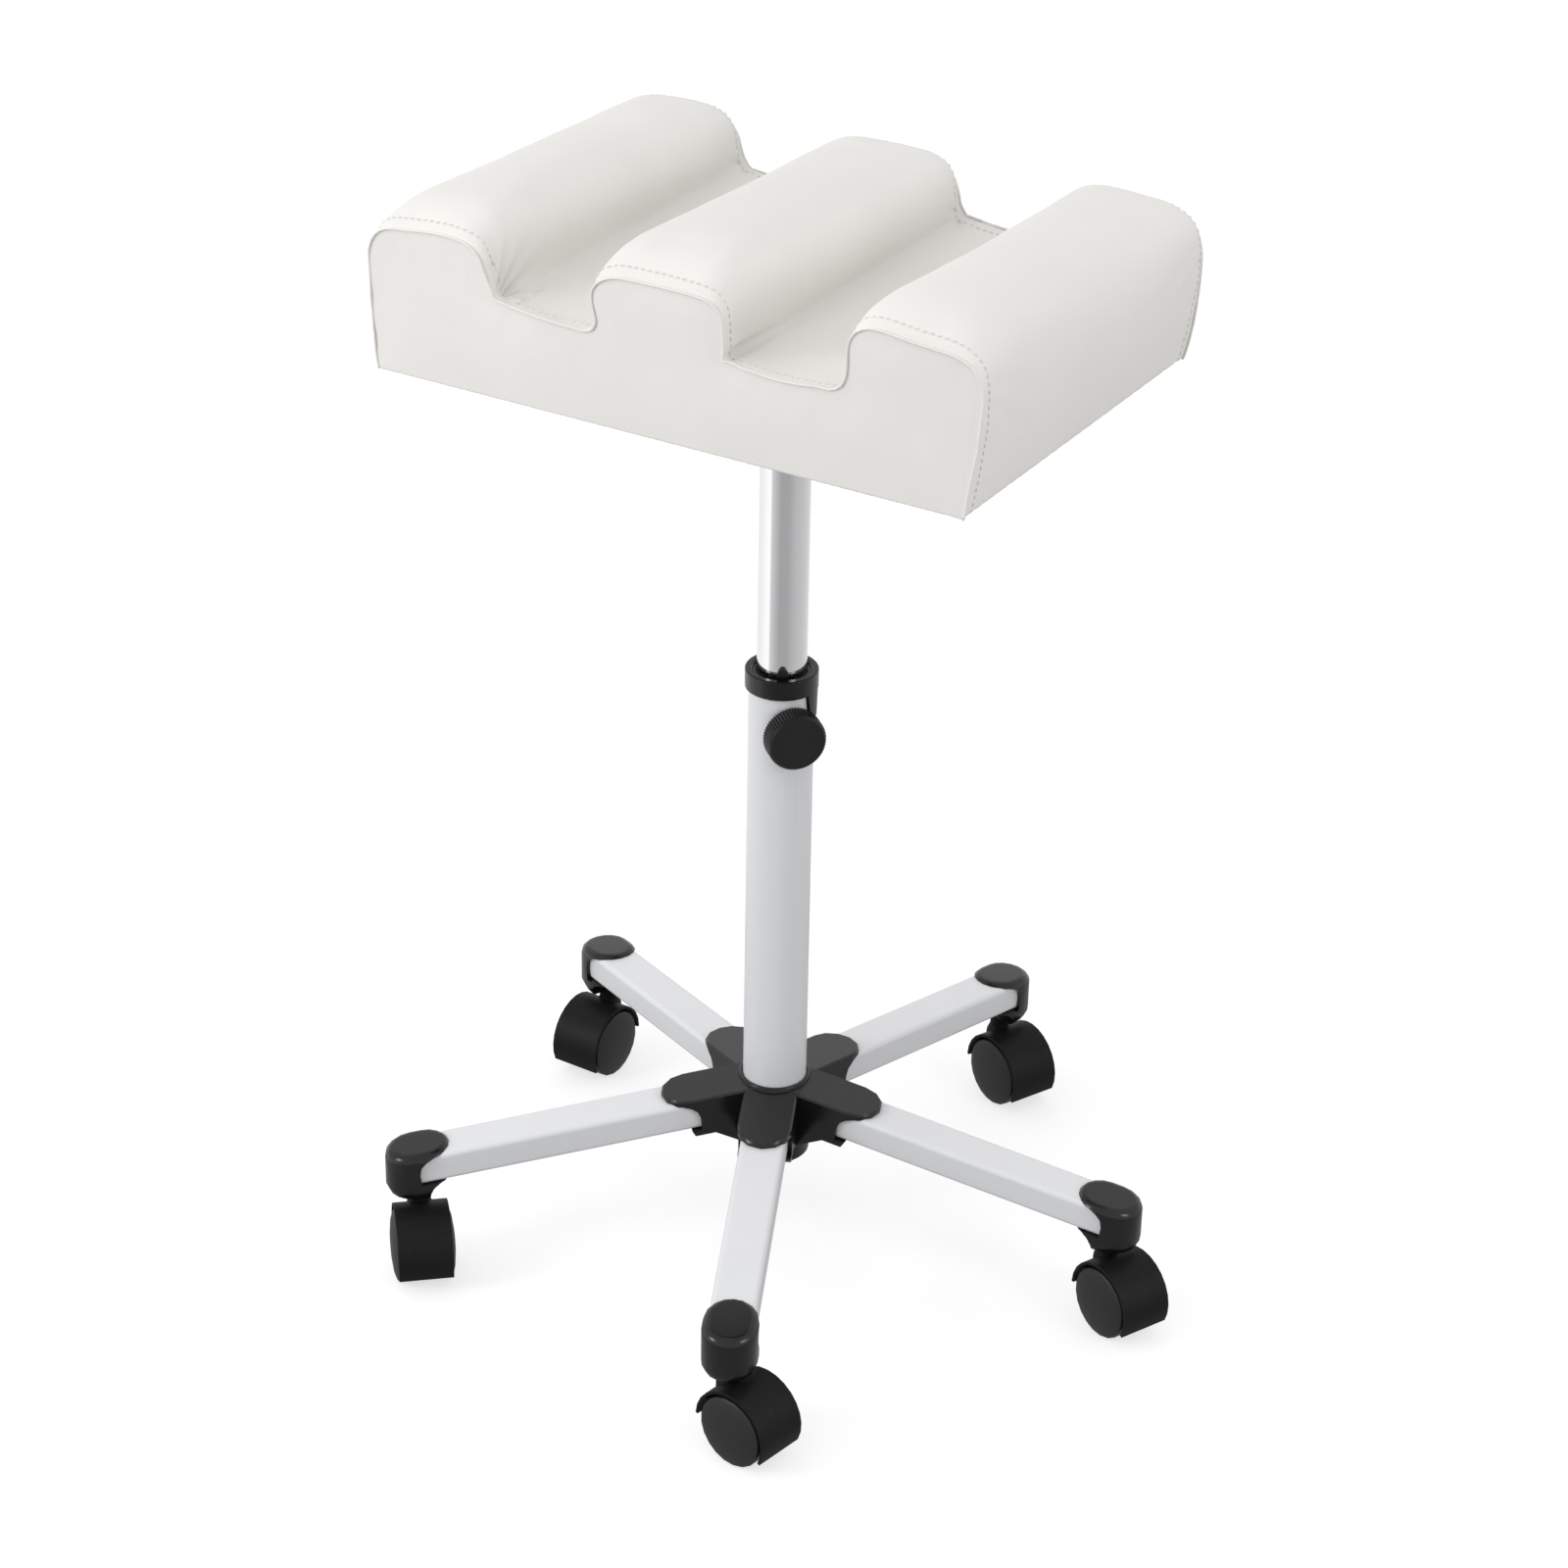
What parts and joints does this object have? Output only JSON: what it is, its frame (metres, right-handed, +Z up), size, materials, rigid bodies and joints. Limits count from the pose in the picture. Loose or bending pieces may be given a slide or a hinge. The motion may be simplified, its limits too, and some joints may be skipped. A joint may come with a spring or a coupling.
{
  "type": "pedicure stool",
  "caption": "Height-adjustable pedicure leg rest: padded top with raised ridges and leg channels, telescopic column with clamp knob, star base on casters.",
  "frame": {"origin": "middle of the outer box at the floor, under the padded rest", "axes": "+Z up, +X along the rest's width across its channels, +Y along the channels from the front to the back"},
  "size_m": [0.4656, 0.4512, 0.6704],
  "materials": {
    "black_plastic": "moulded satin black",
    "gloss_black_plastic": "moulded glossy black",
    "wheel_nylon": "hard black nylon",
    "guide_nylon": "black nylon",
    "pad_nylon": "natural nylon",
    "white_enamel": "glossy white powder coat",
    "chrome_tube": "polished chrome plate",
    "zinc_steel": "zinc-plated steel",
    "birch_ply": "raw plywood",
    "white_leatherette": "satin grained leatherette"
  },
  "bodies": {
    "base": {"hub": "black_plastic", "tube_foot_plug": "zinc_steel", "hub_washer": "zinc_steel", "hub_bolt": "zinc_steel", "outer_tube": "white_enamel", "clamp_nut": "zinc_steel", "collar": "gloss_black_plastic", "leg_1": "white_enamel", "leg_cap_1": "black_plastic", "leg_screw_1": "zinc_steel", "leg_2": "white_enamel", "leg_cap_2": "black_plastic", "leg_screw_2": "zinc_steel", "leg_3": "white_enamel", "leg_cap_3": "black_plastic", "leg_screw_3": "zinc_steel", "leg_4": "white_enamel", "leg_cap_4": "black_plastic", "leg_screw_4": "zinc_steel", "leg_5": "white_enamel", "leg_cap_5": "black_plastic", "leg_screw_5": "zinc_steel"},
    "column_carriage": {"inner_guide_bush": "guide_nylon"},
    "seat": {"inner_tube": "chrome_tube", "mounting_plate": "zinc_steel", "plate_screw_1": "zinc_steel", "plate_screw_2": "zinc_steel", "plate_screw_3": "zinc_steel", "plate_screw_4": "zinc_steel", "cushion_board": "birch_ply", "cushion": "white_leatherette"},
    "clamp_tip": {"clamp_pad": "pad_nylon"},
    "clamp_knob": {"clamp_screw": "zinc_steel", "knob": "gloss_black_plastic"},
    "caster_1": {"caster_stem_1": "zinc_steel", "caster_hood_1": "black_plastic", "caster_axle_1": "zinc_steel"},
    "wheel_left_1": {"caster_wheel_left_1": "wheel_nylon"},
    "wheel_right_1": {"caster_wheel_right_1": "wheel_nylon"},
    "caster_2": {"caster_stem_2": "zinc_steel", "caster_hood_2": "black_plastic", "caster_axle_2": "zinc_steel"},
    "wheel_left_2": {"caster_wheel_left_2": "wheel_nylon"},
    "wheel_right_2": {"caster_wheel_right_2": "wheel_nylon"},
    "caster_3": {"caster_stem_3": "zinc_steel", "caster_hood_3": "black_plastic", "caster_axle_3": "zinc_steel"},
    "wheel_left_3": {"caster_wheel_left_3": "wheel_nylon"},
    "wheel_right_3": {"caster_wheel_right_3": "wheel_nylon"},
    "caster_4": {"caster_stem_4": "zinc_steel", "caster_hood_4": "black_plastic", "caster_axle_4": "zinc_steel"},
    "wheel_left_4": {"caster_wheel_left_4": "wheel_nylon"},
    "wheel_right_4": {"caster_wheel_right_4": "wheel_nylon"},
    "caster_5": {"caster_stem_5": "zinc_steel", "caster_hood_5": "black_plastic", "caster_axle_5": "zinc_steel"},
    "wheel_left_5": {"caster_wheel_left_5": "wheel_nylon"},
    "wheel_right_5": {"caster_wheel_right_5": "wheel_nylon"}
  },
  "joints": [
    {"name": "height_slide", "type": "slide", "parent": "base", "child": "column_carriage", "axis": [0, 0, 1], "range_m": [-0.16, 0.03]},
    {"name": "rest_turn", "type": "hinge", "parent": "column_carriage", "child": "seat", "pos_m": [-0.02489, -0.00557, 0.28243], "axis": [0, 0, 1], "continuous": true},
    {"name": "clamp_travel", "type": "slide", "parent": "base", "child": "clamp_tip", "axis": [0.7478, -0.6639, 0], "range_m": [0, 0.00187]},
    {"name": "knob_turn", "type": "hinge", "parent": "clamp_tip", "child": "clamp_knob", "pos_m": [-0.00485, -0.02336, 0.34873], "axis": [0.7478, -0.6639, 0], "range_deg": [0, 541]},
    {"name": "caster_swivel_1", "type": "hinge", "parent": "base", "child": "caster_1", "pos_m": [-0.18388, -0.15177, 0.05303], "axis": [0, 0, 1], "continuous": true},
    {"name": "wheel_roll_left_1", "type": "hinge", "parent": "caster_1", "child": "wheel_left_1", "pos_m": [-0.17437, -0.16272, 0.02173], "axis": [0.7547, 0.6561, 0], "continuous": true},
    {"name": "wheel_roll_right_1", "type": "hinge", "parent": "caster_1", "child": "wheel_right_1", "pos_m": [-0.17437, -0.16272, 0.02173], "axis": [0.7547, 0.6561, 0], "continuous": true},
    {"name": "caster_swivel_2", "type": "hinge", "parent": "base", "child": "caster_2", "pos_m": [0.06503, -0.20196, 0.05303], "axis": [0, 0, 1], "continuous": true},
    {"name": "wheel_roll_left_2", "type": "hinge", "parent": "caster_2", "child": "wheel_left_2", "pos_m": [0.07926, -0.20473, 0.02173], "axis": [0.1908, 0.9816, 0], "continuous": true},
    {"name": "wheel_roll_right_2", "type": "hinge", "parent": "caster_2", "child": "wheel_right_2", "pos_m": [0.07926, -0.20473, 0.02173], "axis": [0.1908, 0.9816, 0], "continuous": true},
    {"name": "caster_swivel_3", "type": "hinge", "parent": "base", "child": "caster_3", "pos_m": [0.18968, 0.01926, 0.05303], "axis": [0, 0, 1], "continuous": true},
    {"name": "wheel_roll_left_3", "type": "hinge", "parent": "caster_3", "child": "wheel_left_3", "pos_m": [0.20282, 0.01313, 0.02173], "axis": [0.4226, 0.9063, 0], "continuous": true},
    {"name": "wheel_roll_right_3", "type": "hinge", "parent": "caster_3", "child": "wheel_right_3", "pos_m": [0.20282, 0.01313, 0.02173], "axis": [0.4226, 0.9063, 0], "continuous": true},
    {"name": "caster_swivel_4", "type": "hinge", "parent": "base", "child": "caster_4", "pos_m": [0.01781, 0.20617, 0.05303], "axis": [0, 0, 1], "continuous": true},
    {"name": "wheel_roll_left_4", "type": "hinge", "parent": "caster_4", "child": "wheel_left_4", "pos_m": [0.03095, 0.20004, 0.02173], "axis": [0.4226, 0.9063, 0], "continuous": true},
    {"name": "wheel_roll_right_4", "type": "hinge", "parent": "caster_4", "child": "wheel_right_4", "pos_m": [0.03095, 0.20004, 0.02173], "axis": [0.4226, 0.9063, 0], "continuous": true},
    {"name": "caster_swivel_5", "type": "hinge", "parent": "base", "child": "caster_5", "pos_m": [-0.21307, 0.10047, 0.05303], "axis": [0, 0, 1], "continuous": true},
    {"name": "wheel_roll_left_5", "type": "hinge", "parent": "caster_5", "child": "wheel_left_5", "pos_m": [-0.21358, 0.08597, 0.02173], "axis": [0.9994, -0.0349, 0], "continuous": true},
    {"name": "wheel_roll_right_5", "type": "hinge", "parent": "caster_5", "child": "wheel_right_5", "pos_m": [-0.21358, 0.08597, 0.02173], "axis": [0.9994, -0.0349, 0], "continuous": true}
  ],
  "couplings": [
    {"joint": "knob_turn", "follows": "clamp_travel", "rad_per_m": 5026.5}
  ]
}
